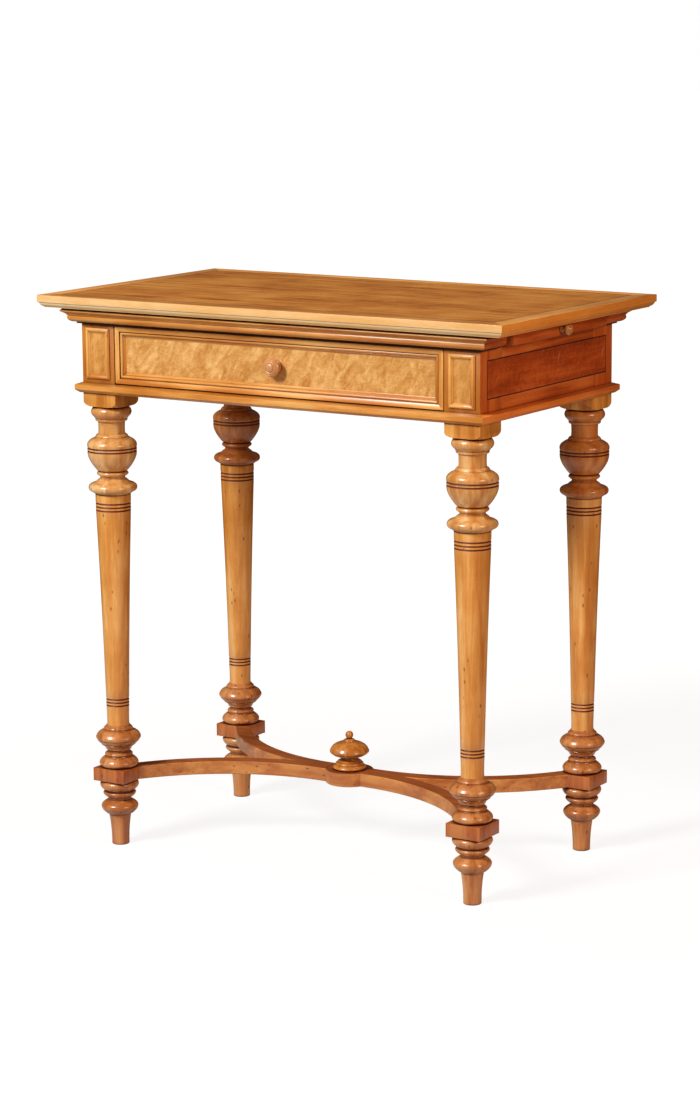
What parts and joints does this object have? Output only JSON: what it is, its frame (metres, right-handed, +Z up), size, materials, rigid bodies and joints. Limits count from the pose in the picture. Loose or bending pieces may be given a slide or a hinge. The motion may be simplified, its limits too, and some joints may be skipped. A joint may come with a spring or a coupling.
{
  "type": "work table",
  "caption": "Small work table with turned legs, a curved cross stretcher with a finial, a frieze drawer and pull-out slides at the ends under a moulded top.",
  "frame": {"origin": "on the floor under the middle of the table", "axes": "+Z up, +X to the right along the long side, +Y from the drawer front to the back"},
  "size_m": [0.6854, 0.3982, 0.73],
  "materials": {
    "polished_wood": "glossy lacquer on pale reddish wood",
    "figured_veneer": "glossy lacquer on mottled figured veneer",
    "dark_line": "stained wood, lacquered",
    "plain_wood": "unfinished softwood, sanded"
  },
  "bodies": {
    "table": {"apron_back": "polished_wood", "apron_left": "polished_wood", "apron_right": "polished_wood", "base_moulding_back": "polished_wood", "base_moulding_front": "polished_wood", "base_moulding_left": "polished_wood", "base_moulding_right": "polished_wood", "cornice_back": "polished_wood", "cornice_front": "polished_wood", "cornice_returns_left": "polished_wood", "cornice_returns_right": "polished_wood", "drawer_rail": "polished_wood", "drawer_runner_left": "plain_wood", "drawer_runner_right": "plain_wood", "drawer_stops": "plain_wood", "ebony_fillet": "dark_line", "leg_back_left": "polished_wood", "leg_back_right": "polished_wood", "leg_front_left": "polished_wood", "leg_front_right": "polished_wood", "post_frame_left": "polished_wood", "post_frame_right": "polished_wood", "post_panel_left": "figured_veneer", "post_panel_right": "figured_veneer", "side_panel_left": "figured_veneer", "side_panel_right": "figured_veneer", "side_stringing": "dark_line", "slide_bed": "plain_wood", "slide_divider": "plain_wood", "slide_guides": "plain_wood", "stretcher_arm_back_left": "polished_wood", "stretcher_arm_back_right": "polished_wood", "stretcher_arm_front_left": "polished_wood", "stretcher_arm_front_right": "polished_wood", "stretcher_boss": "polished_wood", "stretcher_finial": "polished_wood", "stretcher_tenons": "plain_wood", "top_border_back": "polished_wood", "top_border_front": "polished_wood", "top_border_left": "polished_wood", "top_border_right": "polished_wood", "top_panel": "polished_wood", "top_rail_back": "plain_wood", "top_rail_front": "plain_wood", "top_stringing": "dark_line"},
    "drawer": {"drawer_back": "plain_wood", "drawer_bottom": "plain_wood", "drawer_front": "plain_wood", "drawer_knob": "polished_wood", "drawer_moulding": "polished_wood", "drawer_panel": "figured_veneer", "drawer_side_left": "plain_wood", "drawer_side_right": "plain_wood"},
    "slide_right": {"slide_board_right": "plain_wood", "slide_knob_right": "polished_wood", "slide_lipping_right": "polished_wood"},
    "slide_left": {"slide_board_left": "plain_wood", "slide_knob_left": "polished_wood", "slide_lipping_left": "polished_wood"}
  },
  "joints": [
    {"name": "drawer_pull", "type": "slide", "parent": "table", "child": "drawer", "axis": [0, -1, 0], "range_m": [0, 0.2]},
    {"name": "slide_right_pull", "type": "slide", "parent": "table", "child": "slide_right", "axis": [1, 0, 0], "range_m": [0, 0.18]},
    {"name": "slide_left_pull", "type": "slide", "parent": "table", "child": "slide_left", "axis": [-1, 0, 0], "range_m": [0, 0.18]}
  ]
}
